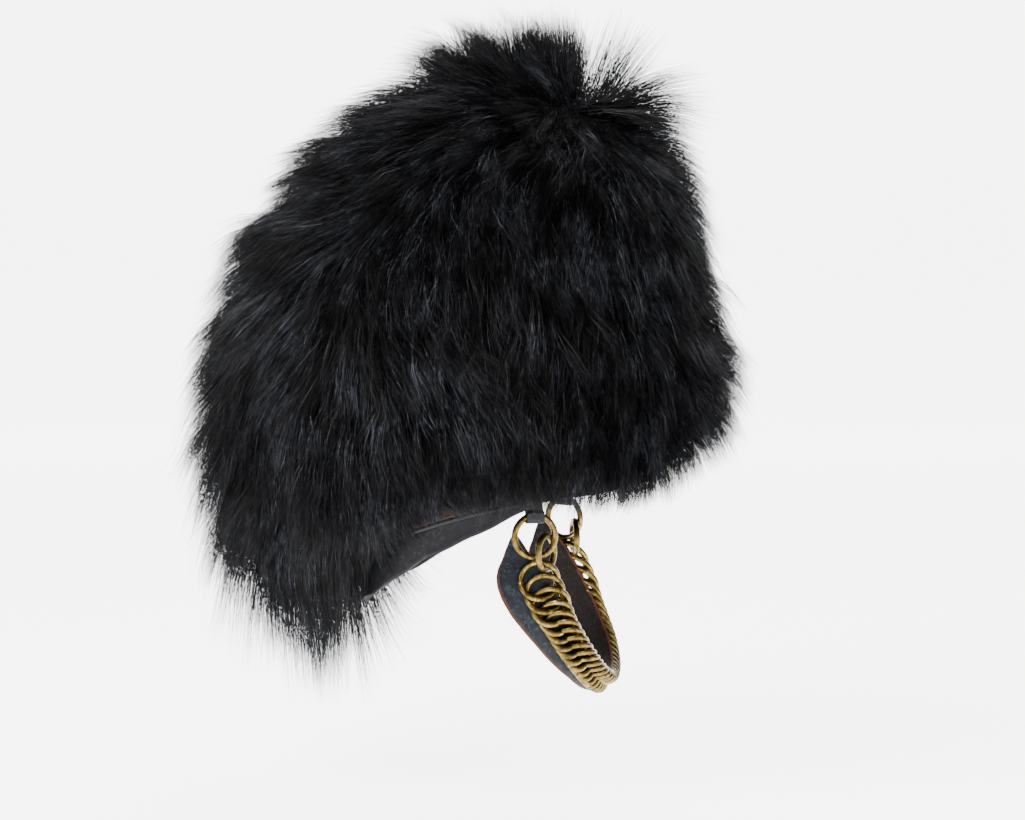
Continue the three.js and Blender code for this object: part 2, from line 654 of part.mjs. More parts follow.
// The joining link passes through the ring and the chain's first link, whose wires lie the other way round on
// the wearer's left
function joiningLink({ forward, out, down }) {
  const ahead = new THREE.Vector3().crossVectors(SEAT.out, UP).multiplyScalar(Math.sign(SEAT.out.x));
  const tilt = degToRad(JOINING_LINK_TILT);
  const across = ahead.clone().multiplyScalar(Math.cos(tilt)).addScaledVector(SEAT.out, -Math.sin(tilt));
  const centre = RING_CENTRE.clone()
    .addScaledVector(ahead, forward)
    .addScaledVector(SEAT.out, out)
    .addScaledVector(UP, -down);
  const radius = (JOINING_LINK_DIAMETER - JOINING_LINK_WIRE) / 2;
  const facing = new THREE.Vector3().crossVectors(UP, across);
  return wired(new WireLoop({ centre, along: UP, across, out: facing, radius }), JOINING_LINK_WIRE);
}

addPair("link", joiningLink(JOINING_LINK_SHIFTS.right), BRASS, joiningLink(JOINING_LINK_SHIFTS.left));

// The sizes of the chain's link at a share of the loop
function gradeAt(share) {
  const read = (column) => betweenRows(CHAIN_GRADES, "along", towardsChin(share), column);
  const wire = LINK_WIRE * read("wire");
  const pitch = wire * read("pitch");
  const radius = (LINK_WIDTH * read("width") - wire) / 2;
  const crossing = (pitch / radius) * Math.sqrt(1 - (pitch / (2 * radius)) ** 2);
  const lean = LINK_LEAN * wire;
  return { wire, pitch, radius, lean, twist: (LINK_BITE * wire + (lean * pitch) / (2 * radius)) / crossing };
}

// Shares of the loop where the links lie, a pitch apart, with both ends alike
function linkShares() {
  const [from, to] = [CHAIN_START / CHIN_LENGTH, 1 - CHAIN_START / CHIN_LENGTH];
  const fine = Array.from({ length: FINE_STEPS + 1 }, (_, i) => lerp(from, to, i / FINE_STEPS));
  const turns = [0];
  fine.slice(1).forEach((share, i) => {
    turns.push(turns[i] + ((share - fine[i]) * CHIN_LENGTH) / gradeAt(share).pitch);
  });
  const gaps = Math.round(turns.at(-1));
  return Array.from({ length: gaps + 1 }, (_, k) => {
    const i = turns.findIndex((turn) => turn >= (k / gaps) * turns.at(-1) - 1e-9);
    return fine[i];
  });
}

function chain() {
  return fused(
    linkShares().map((share) => {
      const { point, along, out, rear } = chinFrame(share);
      const { wire, radius, lean, twist } = gradeAt(share);
      return wired(new WireLoop({ centre: point, along, across: rear, out, radius, lean, twist }), wire);
    }),
  );
}

add("chain", chain(), BRASS);

// The strap lies against the chain's inner side
function chinStrap() {
  return rowOf(
    Array.from({ length: STRAP_STEPS + 1 }, (_, i) => {
      const share = i / STRAP_STEPS;
      const { point, out, rear } = chinFrame(share);
      const read = (column) => betweenRows(STRAP_OUTLINE, "along", towardsChin(share), column);
      const { wire, lean, twist } = gradeAt(share);
      const half = (STRAP_WIDTH * read("width")) / 2;
      const middle = point.clone().addScaledVector(rear, STRAP_WIDTH * read("setBack"));
      const face = -(twist + lean / 2 + wire / 2 + CLEARANCE);
      const corner = (sideways, depth) =>
        middle.clone().addScaledVector(rear, sideways).addScaledVector(out, depth);
      return [
        corner(-half, face),
        corner(half, face),
        corner(half, face - STRAP_WALL),
        corner(-half, face - STRAP_WALL),
      ];
    }),
  );
}

add("chin_strap", chinStrap(), WORN_LEATHER);

export default hat;
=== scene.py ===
"""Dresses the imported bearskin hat: fur, leather, brass and a plain studio.

Metres, +Z up. The wearer faces -Y, the wearer's left is +X and the origin is the centre of the head opening.
"""

import math

import bmesh
import bpy
import numpy as np
from mathutils import Matrix, Vector, kdtree


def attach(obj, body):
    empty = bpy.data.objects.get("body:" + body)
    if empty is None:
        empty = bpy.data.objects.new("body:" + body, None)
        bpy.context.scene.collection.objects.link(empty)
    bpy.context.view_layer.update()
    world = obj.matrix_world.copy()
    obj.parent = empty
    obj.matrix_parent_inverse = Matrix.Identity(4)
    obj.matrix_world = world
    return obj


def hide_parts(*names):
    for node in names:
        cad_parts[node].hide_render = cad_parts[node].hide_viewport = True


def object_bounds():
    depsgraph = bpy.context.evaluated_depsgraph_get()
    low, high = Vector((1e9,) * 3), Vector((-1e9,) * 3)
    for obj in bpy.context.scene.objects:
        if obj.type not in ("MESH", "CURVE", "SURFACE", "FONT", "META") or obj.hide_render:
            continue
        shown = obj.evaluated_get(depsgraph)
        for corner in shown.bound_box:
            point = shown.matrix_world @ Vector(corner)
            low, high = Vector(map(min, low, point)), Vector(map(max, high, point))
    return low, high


bl_info = {
    "name": "Bearskin Hat Dresser",
    "version": (1, 0, 0),
    "blender": (4, 5, 0),
    "location": "3D View > Sidebar > Bearskin",
    "description": "Grows the fur and makes the leather, brass and studio of a bearskin hat",
    "category": "Object",
}

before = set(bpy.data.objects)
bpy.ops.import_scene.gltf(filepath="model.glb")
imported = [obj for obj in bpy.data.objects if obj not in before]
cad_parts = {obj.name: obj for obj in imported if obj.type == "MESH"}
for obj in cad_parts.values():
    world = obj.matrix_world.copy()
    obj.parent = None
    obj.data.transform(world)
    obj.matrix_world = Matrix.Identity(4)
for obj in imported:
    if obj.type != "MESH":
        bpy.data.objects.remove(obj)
CAD_BOX = [list(corner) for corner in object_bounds()]

MM = 0.001
UP = np.array([0.0, 0.0, 1.0])

# The head opening and the walls of the pieces round it, as in the solids
OPENING_LENGTH = 188 * MM
OPENING_BREADTH = 154 * MM
BAND_WALL = 1.6 * MM
HIDE_WALL = 2.4 * MM
WELT_DIAMETER = 3.4 * MM
CLEARANCE = 0.3 * MM
BAND_RISE = 30 * MM
BAND_DROP_FRONT = 2 * MM
BAND_DROP_MORE = 36 * MM
BAND_DROP_STARTS = 50  # degrees from the front

# The underfur's outer face above the hide's and how deep it is, and how finely it and the hide are divided
UNDERFUR_REACH = 7 * MM
UNDERFUR_WALL = 6.5 * MM
SHELL_RINGS = 64
SHELL_AROUND = 112

# The welt's dents and the stitches across it: where a stitch starts and ends, by how far round in radians,
# how far outside the hide and how far above the rim
WELT_DENTS = 60
WELT_DENT = 0.05  # of its thickness
STITCHES = 110
STITCH_ENDS = ((-0.008, 0.5 * MM, -2.6 * MM), (0.008, 0.2 * MM, 2.4 * MM))
STITCH_THICKNESS = 0.9 * MM

# The body's outer face from the rim to the whorl, each row an oval: how far forward and up its front is,
# how far back and up its back is, its half width and its arch
BODY_ROWS = MM * np.array([
    (98.3, 43.0, 98.3, -10.0, 81.3, 11.5),
    (98.3, 54.0, 98.3, 1.0, 81.3, 11.5),
    (115.84, 70.05, 136.0, 3.32, 96.39, 10.62),
    (131.84, 91.63, 166.4, 28.22, 108.29, 5.31),
    (139.84, 121.84, 176.96, 68.06, 115.43, 0),
    (138.88, 159.36, 179.2, 114.54, 119.0, 0),
    (136.0, 195.88, 176.0, 157.04, 118.29, 0),
    (132.8, 230.08, 161.92, 197.54, 113.05, 0),
    (127.04, 258.63, 136.96, 238.04, 101.15, 0),
    (118.08, 279.54, 102.4, 275.89, 83.06, 0),
    (105.92, 294.48, 60.16, 308.1, 59.98, 0),
    (89.92, 305.11, 8.0, 332, 34.03, 0),
    (64.0, 316.06, -64.0, 316.06, 0, 0),
])
WHORL = len(BODY_ROWS) - 1
COLLAR_TOP = 1

# The fur from the collar to the whorl, at the front, the side and the back: its length as a share of the
# longest, its lift off the hide in degrees, and how far gravity turns it down
PILE_LEVELS = (0.0, 0.09, 0.18, 0.3, 0.4, 0.5, 0.7, 0.85, 0.93, 1.0)
PILE_LENGTH = np.array([
    (0.42, 0.13, 1.4), (0.62, 0.32, 1.72), (0.88, 0.58, 1.56), (0.9, 0.8, 1.24), (0.88, 0.83, 1.06),
    (0.88, 0.85, 0.96), (0.84, 0.84, 0.9), (0.76, 0.84, 0.86), (0.54, 0.84, 1.0), (0.3, 0.95, 1.2),
])
PILE_LIFT = np.array([
    (30, 30, 6), (64, 30, 9), (70, 28, 20), (60, 24, 28), (42, 23, 26),
    (33, 23, 25), (29, 25, 26), (30, 30, 31), (20, 36, 50), (8, 62, 82),
])
PILE_SINK = np.array([
    (0.3, 0.5, 0.95), (0.1, 0.45, 0.9), (0, 0.4, 0.6), (0.05, 0.3, 0.3), (0.1, 0.22, 0.22),
    (0.15, 0.15, 0.15), (0.09, 0.09, 0.09), (0.04, 0.04, 0.04), (0.02, 0.02, 0.02), (0, 0, 0),
])

# How closely the front's and the back's pile keep to the front and the back: two levels and the value at each
FRONT_FOCUS = ((0.8, 0.95), (1.3, 0.5))
BACK_FOCUS = ((0.9, 1), (3.5, 1))

# The row above which hair belongs to the crown's piece, and how near the whorl hair may grow, in rows
CROWN_ROW = 8.4
WHORL_MARGIN = 0.05

# A hair's parts, its root's height off the hide, and how its lift eases off and gravity bends it to the tip
SEGMENTS = 3
ROOT_HEIGHT = 1.5 * MM
FIRST_LIFT = 1.75
EASED_LIFT = 1.35
DROOP = 0.12
MOST_STRAY = 0.3  # radians above or below the pile
LOW_LIFT = 0.4  # radians, under which the pile lies too close to stray far

# How locks and the hairs in them differ: a share of the pile's length as its least and how much more, and the
# usual sway and lift in radians
LOCK_SHARES = (0.86, 0.26)
LOCK_SWAY = 0.26
LOCK_LIFT = 0.11
LOCK_TONE = 0.2  # of a hair's tone, the rest is its own
HAIR_SHARES = (0.55, 0.43)
HAIR_SWAY = 0.22
HAIR_LIFT = 0.11

# How strongly hairs are drawn in to their lock's middle, at least and how much more, and how that grows along
# them
HOLDS = (0.25, 0.5)
HOLD_GROWTH = 1.3

# The hairs that stray from their locks: their share, their length and how little they are drawn in
LOOSE_SHARE = 0.1
LOOSE_SHARES = (0.95, 0.07)
LOOSE_HOLD = 0.05

# A hair's blade: how it tapers, its root's width as a share, and widths' least share and how much more
BLADE_TAPER = 0.6
BLADE_ROOT = 0.8
BLADE_WIDTHS = (0.7, 0.6)

# The room that hair may take beyond the solids: a share of each side and a margin
REACH_SHARE = 0.028
REACH_MARGIN = 9.5 * MM

# The loose hairs about the whorl, first the upright ones behind it and then the tufts of the fan before it:
# how many, from which row and bearing and how wide a bearing, degrees up from straight ahead and their
# spread, length in millimetres, slant to the wearer's right and its spread, and how many degrees they bow
# forward
CREST_TUFTS = np.array([
    (700, 11.8, 170, 70, 92, 8, 70, 0.0, 0.3, 4), (1600, 11.5, 176, 50, 96, 6, 62, 0.05, 0.36, 2),
    (1500, 11.1, 180, 40, 104, 8, 53, 0.0, 0.4, 0), (1200, 10.7, 180, 34, 114, 9, 44, 0.0, 0.4, -4),
    (150, 11.4, 60, 14, 97, 3, 80, 0.12, 0.05, 6), (230, 11.15, 34, 14, 74, 3, 84, -0.2, 0.05, 8),
    (210, 11.1, 32, 14, 55, 3, 82, 0.1, 0.05, 10), (70, 11.05, 30, 14, 42, 6, 66, -0.1, 0.05, 12),
    (260, 11.0, 26, 14, 27, 4, 88, 0.12, 0.06, 40), (300, 10.95, 24, 16, 12, 5, 86, -0.12, 0.08, 40),
    (500, 10.9, 22, 20, -4, 6, 76, 0.05, 0.15, 36),
])
CREST_FOOT = 7 * MM
CREST_SHARES = (0.62, 1.04)
CREST_ROW_SPREAD = 0.12
CREST_BOW_FROM = 0.4  # of a hair's length, where its bow leaves it as it was
CREST_TONE = 0.6

# Route of the chin loop from the wearer's right temple to under the chin: forward, right and up
CHIN_ROUTE = MM * np.array([
    (41.5, 65.5, 6),
    (45.5, 66.7, -8),
    (51.5, 67.2, -24),
    (60, 66, -42.5),
    (70, 60, -63),
    (80, 47.5, -82),
    (87, 26, -97),
    (89.5, 0, -103),
])
CHIN_CENTRE = MM * np.array((44, 0, -58))

# The chain's links from a temple to the chin: outer width, wire and pitch
CHAIN_ALONG = (0.0, 0.33, 0.4, 1.0)
CHAIN_WIDTH = MM * np.array((32, 31, 26.5, 20.5))
CHAIN_WIRE = MM * np.array((4.6, 4.6, 4.4, 3.8))
CHAIN_PITCH = MM * np.array((11.0, 9.8, 7.1, 6.1))
CHAIN_START = 29 * MM

# How a link's ends lean and its sides twist out of its plane, in wires
LEAN = 0.15
TWIST = 0.46
MOST_TWIST = 1.4

# The rings' and joining links' outer width and wire
RING_SIZES = {"ring": (35 * MM, 4.6 * MM), "link": (29.4 * MM, 4.7 * MM)}

# The strap from a temple to the chin: its width and how far its middle is set back from the chain's
STRAP_WIDEST = 37 * MM
STRAP_ALONG = (0.0, 0.02, 0.05, 0.08, 0.11, 0.15, 0.2, 0.28, 0.45, 0.7, 1.0)
STRAP_WIDTHS = STRAP_WIDEST * np.array((0.14, 0.32, 0.56, 0.76, 0.89, 0.97, 1.0, 1.0, 0.88, 0.7, 0.58))
STRAP_SETBACK = STRAP_WIDEST * np.array((0.22, 0.25, 0.29, 0.31, 0.32, 0.32, 0.31, 0.27, 0.17, 0.09, 0.03))
STRAP_TIP = 7 * MM
STRAP_TIP_SHARE = 0.05
STRAP_BEHIND = 1.2 * MM
STRAP_CUP = 0.6 * MM
STRAP_WALL = 2.6 * MM
STRAP_EDGE = 0.5 * MM

# The camera's sensor in millimetres, the photo's width in pixels and its scale at the hat
SENSOR = 36
PHOTO_WIDTH = 1025
PIXELS_PER_METRE = 1350

# The paper sweep: how far it reaches to each side and behind, how deep it is, its bend and its wall
SWEEP_SIDE = 4.0
SWEEP_BEHIND = 3.2
SWEEP_DEPTH = 7.5
SWEEP_BEND = 1.2
SWEEP_WALL = 3.0

# The studio: the point looked at, the paper's and the air's light, and each lamp's angle round from the
# camera, angle up, distance, size and power
AIM = Vector((0, -0.019, 0.097))
PAPER_LIGHT = 4.5
AIR_LIGHT = 0.42
LAMPS = (
    ("key", -0.75, 0.75, 2.0, 1.1, 82),
    ("fill", 0.8, 0.35, 2.4, 1.4, 16),
    ("top", 2.6, 1.15, 1.9, 1.2, 30),
)


def unit(v):
    """Vectors made one long, along the last axis."""
    return v / np.maximum(np.linalg.norm(v, axis=-1, keepdims=True), 1e-12)


def dot(a, b):
    return np.sum(a * b, axis=-1, keepdims=True)


def place(forward, right, up):
    """Points from how far forward, right and up of the origin they lie, as the wearer sees it."""
    return np.stack([-np.asarray(right), -np.asarray(forward), np.asarray(up)], axis=-1)


def through_rows(rows, at):
    """All columns of a table between its evenly spaced rows, on a smooth curve."""
    last = len(rows) - 1
    i = np.clip(np.floor(at).astype(int), 0, last - 1)
    f = (at - i)[:, None]
    p0, p1, p2, p3 = (rows[np.clip(i + k, 0, last)] for k in (-1, 0, 1, 2))
    return p1 + 0.5 * f * (p2 - p0 + f * (2 * p0 - 5 * p1 + 4 * p2 - p3 + f * (3 * (p1 - p2) + p3 - p0)))


def body_at(row, angle):
    """Points of the body's outer face, by row and by angle from the front round the wearer's right."""
    front, front_up, back, back_up, half, arch = through_rows(BODY_ROWS, row).T
    along = np.cos(angle)
    forward = (front - back) / 2 + along * (front + back) / 2
    up = (front_up + back_up) / 2 + along * (front_up - back_up) / 2 + arch * np.sin(angle) ** 2
    return place(forward, half * np.sin(angle), up)


def body_frame(row, angle):
    """The way down the body's face and the way straight out of it."""
    step = 0.02
    at = np.clip(row, step, WHORL - 3 * step)
    down = unit(body_at(at - step, angle) - body_at(at + step, angle))
    around = unit(body_at(at, angle + step) - body_at(at, angle - step))
    return down, unit(np.cross(around, down))


def pile_at(row, angle):
    """Length share, lift in radians and sink of the fur at places of the body."""
    level = (row - COLLAR_TOP) / (WHORL - COLLAR_TOP)
    front = np.maximum(0, np.cos(angle)) ** np.interp(level, *FRONT_FOCUS)
    back = np.maximum(0, -np.cos(angle)) ** np.interp(level, *BACK_FOCUS)
    weights = np.stack([front, 1 - front - back, back])
    read = lambda table: sum(w * np.interp(level, PILE_LEVELS, column) for w, column in zip(weights, table.T))
    return read(PILE_LENGTH), np.radians(read(PILE_LIFT)), read(PILE_SINK)


def new_object(name, mesh):
    obj = bpy.data.objects.new(name, mesh)
    bpy.context.scene.collection.objects.link(obj)
    return obj


def finished(name, bm, material):
    """A piece from a bmesh, with its faces turned out and its material."""
    mesh = bpy.data.meshes.new(name)
    bm.to_mesh(mesh)
    bm.free()
    mesh.shade_smooth()
    mesh.materials.append(material)
    return new_object(name, mesh)


def carried(obj, slot, *nodes):
    """The piece rides with the hat and stands for the nodes given. The slot is not used."""
    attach(obj, "root")
    if nodes:
        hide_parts(*nodes)


# Materials


class Shader:
    """A material being wired up round one Principled shader."""

    def __init__(self, name, **sockets):
        self.material = bpy.data.materials.new(name)
        self.material.use_nodes = True
        self.tree = self.material.node_tree
        self.shader = self.tree.nodes["Principled BSDF"]
        for key, value in sockets.items():
            self.shader.inputs[key.replace("_", " ").title().replace("Ior", "IOR")].default_value = value

    def node(self, kind, inputs=None, **settings):
        made = self.tree.nodes.new(kind)
        for key, value in settings.items():
            setattr(made, key, value)
        for key, value in (inputs or {}).items():
            if isinstance(value, bpy.types.NodeSocket):
                self.tree.links.new(value, made.inputs[key])
            else:
                made.inputs[key].default_value = value
        return made

    def to(self, name, socket):
        self.tree.links.new(socket, self.shader.inputs[name])

    def place(self):
        return self.node("ShaderNodeTexCoord").outputs["Object"]

    def uv(self):
        return self.node("ShaderNodeTexCoord").outputs["UV"]

    def noise(self, vector, scale, detail=4.0, roughness=0.55, distortion=0.0):
        inputs = {"Vector": vector, "Scale": scale, "Detail": detail, "Roughness": roughness}
        return self.node("ShaderNodeTexNoise", {**inputs, "Distortion": distortion}).outputs["Fac"]

    def ramp(self, factor, stops):
        made = self.node("ShaderNodeValToRGB", {"Fac": factor})
        elements = made.color_ramp.elements
        while len(elements) < len(stops):
            elements.new(0.5)
        for element, (at, colour) in zip(elements, stops):
            element.position = at
            element.color = (*colour, 1) if isinstance(colour, tuple) else (colour, colour, colour, 1)
        return made.outputs["Color"]

    def mix(self, factor, a, b, blend="MIX"):
        made = self.node("ShaderNodeMix", data_type="RGBA", blend_type=blend)
        for socket, value in ((made.inputs[0], factor), (made.inputs[6], a), (made.inputs[7], b)):
            if isinstance(value, bpy.types.NodeSocket):
                self.tree.links.new(value, socket)
            else:
                socket.default_value = (*value, 1) if isinstance(value, tuple) else value
        return made.outputs[2]

    def maths(self, operation, a, b=0.0):
        made = self.node("ShaderNodeMath", operation=operation)
        for socket, value in ((made.inputs[0], a), (made.inputs[1], b)):
            if isinstance(value, bpy.types.NodeSocket):
                self.tree.links.new(value, socket)
            else:
                socket.default_value = value
        return made.outputs[0]

    def bump(self, height, strength, distance, normal=None):
        inputs = {"Height": height, "Strength": strength, "Distance": distance}
        if normal is not None:
            inputs["Normal"] = normal
        return self.node("ShaderNodeBump", inputs).outputs["Normal"]


def hair_material(settings):
    """Black hair, a little blue, its tone differing at random from hair to hair; the paler hairs show their
    colour only in patches and fine specks, painted sheen and glints.
    """
    s = Shader("black_hair", roughness=settings.gloss, specular_ior_level=0.15)
    tone = s.node("ShaderNodeAttribute", attribute_name="tone").outputs["Fac"]
    where = s.place()
    # Painted sheen and glints: noise patches and fine specks let the paler hairs' colour through
    patches = s.ramp(s.noise(where, 26, 3, 0.6, 0.6), [(0.36, 0.35), (0.66, 1.0)])
    painted_glints = s.ramp(s.noise(where, 190, 2, 0.6), [(0.38, 0.25), (0.62, 1.0)])
    shown = s.maths("MULTIPLY", s.maths("MULTIPLY", tone, patches), painted_glints)
    # The palest stop is the painted highlight colour of the sheen and glints
    stops = [(0.0, (0.0005, 0.0005, 0.0007)), (0.25, (0.0017, 0.0017, 0.0023)), (0.62, (0.075, 0.079, 0.1))]
    s.to("Base Color", s.ramp(shown, stops))
    return s.material


def underfur_material():
    """The matted dark wool between the hairs."""
    s = Shader("underfur", roughness=0.95, specular_ior_level=0.15)
    fibres = s.noise(s.place(), 420, 6, 0.7, 1.5)
    s.to("Base Color", s.ramp(fibres, [(0.3, 0.001), (0.75, 0.006)]))
    s.to("Normal", s.bump(fibres, 0.8, 2 * MM))
    return s.material


def hide_material():
    """Reddish-brown skin, bare at the rim and inside."""
    s = Shader("brown_hide", roughness=0.8)
    where = s.place()
    patches = s.noise(where, 28, 5, 0.6, 0.4)
    grain = s.noise(where, 900, 3, 0.6)
    stops = [(0.3, (0.012, 0.004, 0.003)), (0.55, (0.032, 0.01, 0.007)), (0.8, (0.06, 0.022, 0.014))]
    s.to("Base Color", s.ramp(patches, stops))
    s.to("Normal", s.bump(grain, 0.5, 0.3 * MM, s.bump(patches, 0.4, 1.5 * MM)))
    return s.material


def leather_material(name, dark, pale, worn, gloss, wear):
    """Grained leather with scuffs, rubbed through to another colour along the edges of its UV strip."""
    s = Shader(name, specular_ior_level=0.13)
    where = s.place()
    cells = s.node("ShaderNodeTexVoronoi", {"Vector": where, "Scale": 900.0, "Randomness": 1.0}, feature="F1")
    creases = s.noise(where, 160, 6, 0.65, 0.8)
    blotches = s.noise(where, 34, 5, 0.62, 0.5)
    colour = s.ramp(blotches, [(0.32, dark), (0.72, pale)])
    across = s.node("ShaderNodeSeparateXYZ", {"Vector": s.uv()}).outputs["X"]
    from_middle = s.maths("MULTIPLY", s.maths("ABSOLUTE", s.maths("SUBTRACT", across, 0.5)), 2.0)
    ragged = s.maths("ADD", from_middle, s.maths("MULTIPLY", s.maths("SUBTRACT", creases, 0.5), 0.22))
    edge = s.ramp(ragged, [(wear, 0.0), (min(1.0, wear + 0.07), 1.0)])
    scuffs = s.ramp(s.noise(where, 200, 5, 0.7, 1.2), [(0.5, 0.0), (0.68, 0.7)])
    scuffed = s.mix(scuffs, colour, tuple(3.2 * part for part in pale))
    s.to("Base Color", s.mix(edge, scuffed, worn))
    s.to("Roughness", s.ramp(blotches, [(0.3, gloss), (0.8, gloss + 0.25)]))
    fine = s.bump(cells.outputs["Distance"], 0.25, 0.12 * MM)
    s.to("Normal", s.bump(creases, 0.45, 0.5 * MM, fine))
    return s.material


def thread_material():
    """Waxed black thread, greyed by handling."""
    s = Shader("waxed_thread", roughness=0.6, specular_ior_level=0.3)
    greyed = s.noise(s.place(), 120, 3)
    s.to("Base Color", s.ramp(greyed, [(0.35, (0.008, 0.007, 0.007)), (0.75, (0.05, 0.045, 0.042))]))
    return s.material


def brass_material(settings):
    """Old brass: olive and brown with age, with bright patches that are partly rubbed metal and partly
    painted highlight.
    """
    s = Shader("old_brass", metallic=1.0)
    where = s.place()
    age = s.noise(where, 150, 6, 0.68, 0.7)
    specks = s.noise(where, 1500, 3, 0.7)
    rubbed_and_highlit = tuple(settings.brass)
    dark, olive, pale = (0.02, 0.012, 0.003), (0.085, 0.055, 0.014), (0.18, 0.124, 0.035)
    # The brightest stop is partly rubbed brass and partly a painted highlight
    stops = [(0.32, dark), (0.42, olive), (0.57, pale), (0.76, rubbed_and_highlit)]
    spotted = s.ramp(specks, [(0.3, 0.45), (0.45, 1.0)])
    s.to("Base Color", s.mix(1.0, s.ramp(age, stops), spotted, "MULTIPLY"))
    s.to("Roughness", s.ramp(age, [(0.3, 0.5), (0.7, 0.21)]))
    s.to("Normal", s.bump(specks, 0.2, 0.15 * MM, s.bump(age, 0.35, 0.4 * MM)))
    return s.material


# The body's shells


def body_shell(name, from_row, offset, wall, material):
    """A shell that follows the body at an offset, open below a row, with its wall laid inwards."""
    bm = bmesh.new()
    bmesh.ops.create_uvsphere(bm, u_segments=SHELL_AROUND, v_segments=SHELL_RINGS, radius=1.0)
    lowest = min(bm.verts, key=lambda v: v.co.z)
    bmesh.ops.delete(bm, geom=[lowest], context="VERTS")
    co = np.array([v.co for v in bm.verts])
    polar = np.arccos(np.clip(co[:, 2], -1, 1))
    row = WHORL - polar / polar.max() * (WHORL - from_row)
    angle = np.arctan2(-co[:, 0], -co[:, 1])
    out = body_frame(row, angle)[1]
    out[polar < 1e-6] = UP
    for vert, point in zip(bm.verts, body_at(row, angle) + out * offset):
        vert.co = point
    bmesh.ops.recalc_face_normals(bm, faces=bm.faces)
    obj = finished(name, bm, material)
    solidify = obj.modifiers.new("Wall", "SOLIDIFY")
    solidify.thickness = wall
    solidify.offset = -1
    return obj


# The fur


def scattered(count, rng):
    """Rows and angles spread evenly over the body's face from the collar up."""
    rows = np.linspace(COLLAR_TOP, WHORL - WHORL_MARGIN, 240)
    angles = np.linspace(0, 2 * math.pi, 181)
    grid_row, grid_angle = (g.ravel() for g in np.meshgrid(rows[:-1], angles[:-1], indexing="ij"))
    row_step, angle_step = rows[1] - rows[0], angles[1] - angles[0]
    here = body_at(grid_row, grid_angle)
    up = body_at(grid_row + row_step, grid_angle) - here
    beside = body_at(grid_row, grid_angle + angle_step) - here
    area = np.linalg.norm(np.cross(up, beside), axis=-1)
    running = np.cumsum(area)
    even = (np.arange(count) + rng.random(count)) / count * running[-1]
    cell = np.minimum(np.searchsorted(running, even), len(area) - 1)
    return grid_row[cell] + rng.random(count) * row_step, grid_angle[cell] + rng.random(count) * angle_step


def swept(points):
    """A slow sideways drift of the fur over the body, in radians, with partings and eddies."""
    x, y, z = (points / 0.1).T
    drift = np.sin(1.7 * y + 0.6 * z + 0.4) * np.cos(1.3 * z - 0.8 * y + 1.1)
    eddy = np.sin(3.6 * y - 2.2 * z + 2.0 * x) * np.cos(2.9 * z + 1.9 * x + 0.7)
    return 0.34 * drift + 0.3 * eddy


def ruffled(points):
    """How much higher or lower the pile stands from place to place, in radians."""
    x, y, z = (points / 0.1).T
    swell = np.sin(7.1 * y + 4.3 * z + 0.9) * np.cos(6.3 * z - 5.2 * y + 3.1 * x)
    tufts = np.sin(15.3 * y - 12.1 * z + 9 * x) * np.cos(14.2 * z + 11.7 * y + 2.2)
    return 0.16 * swell + 0.12 * tufts


def combed(row, angle, share, sway, lift_more, longest):
    """Points along hairs that leave the body and bend over to lie the way of the pile."""
    down, out = body_frame(row, angle)
    length, lift, sink = pile_at(row, angle)
    lie = unit(down * (1 - sink[:, None]) - UP * sink[:, None])
    lie = unit(lie + out * np.maximum(0, -dot(lie, out)))
    across = unit(np.cross(lie, out))
    points = [body_at(row, angle) + out * ROOT_HEIGHT]
    turn = sway + swept(points[0])
    stray = np.clip(ruffled(points[0]) + lift_more, -MOST_STRAY, MOST_STRAY)
    lift = lift + stray * np.minimum(1, lift / LOW_LIFT)
    step = (length * share * longest / SEGMENTS)[:, None]
    for k in range(SEGMENTS):
        t = (k + 0.5) / SEGMENTS
        rise = (lift * (FIRST_LIFT - EASED_LIFT * t))[:, None]
        lean = (turn * (0.5 + t))[:, None]
        way = (lie * np.cos(lean) + across * np.sin(lean)) * np.cos(rise) + out * np.sin(rise)
        points.append(points[-1] + unit(way - UP * DROOP * t) * step)
    return np.stack(points, axis=1)


def within_reach(lines):
    """Which hairs keep inside the room that long fur may take round the solids."""
    low, high = np.array(CAD_BOX)
    room = REACH_SHARE * (high - low) + REACH_MARGIN
    return np.all((lines > low - room) & (lines < high + room), axis=(1, 2))


def spread(rng, deviation, count):
    """Random offsets about nought, none of them more than twice the deviation."""
    return np.clip(rng.normal(0, deviation, count), -2 * deviation, 2 * deviation)


def drawn(rng, least, more, count):
    """Random numbers from the least up to so much more."""
    return least + more * rng.random(count)


def strands(settings, rng):
    """Centre lines of all hairs, gathered into locks, with each hair's tone."""
    n = settings.locks
    lock_row, lock_angle = scattered(n, rng)
    lock_share = drawn(rng, *LOCK_SHARES, n)
    lock_sway = spread(rng, LOCK_SWAY, n)
    lock_lift = spread(rng, LOCK_LIFT, n)
    lock_tone = rng.random(n)
    guides = combed(lock_row, lock_angle, lock_share, lock_sway, lock_lift, settings.length)
    tree = kdtree.KDTree(n)
    for i, root in enumerate(guides[:, 0]):
        tree.insert(root, i)
    tree.balance()
    m = settings.hairs
    row, angle = scattered(m, rng)
    own = np.array([tree.find(root)[1] for root in body_at(row, angle)])
    loose = rng.random(m) < LOOSE_SHARE
    share = lock_share[own] * np.where(loose, drawn(rng, *LOOSE_SHARES, m), drawn(rng, *HAIR_SHARES, m))
    sway = lock_sway[own] + spread(rng, HAIR_SWAY, m)
    lift_more = lock_lift[own] + spread(rng, HAIR_LIFT, m)
    lines = combed(row, angle, share, sway, lift_more, settings.length)
    t = np.linspace(0, 1, SEGMENTS + 1)
    hold = np.where(loose, LOOSE_HOLD, drawn(rng, *HOLDS, m))[:, None] * (t**HOLD_GROWTH)[None]
    lines = lines + (guides[own] - lines) * hold[..., None]
    tone = LOCK_TONE * lock_tone[own] + (1 - LOCK_TONE) * rng.random(m) ** 2.2
    kept = within_reach(lines)
    return lines[kept], tone[kept], row[kept], angle[kept]


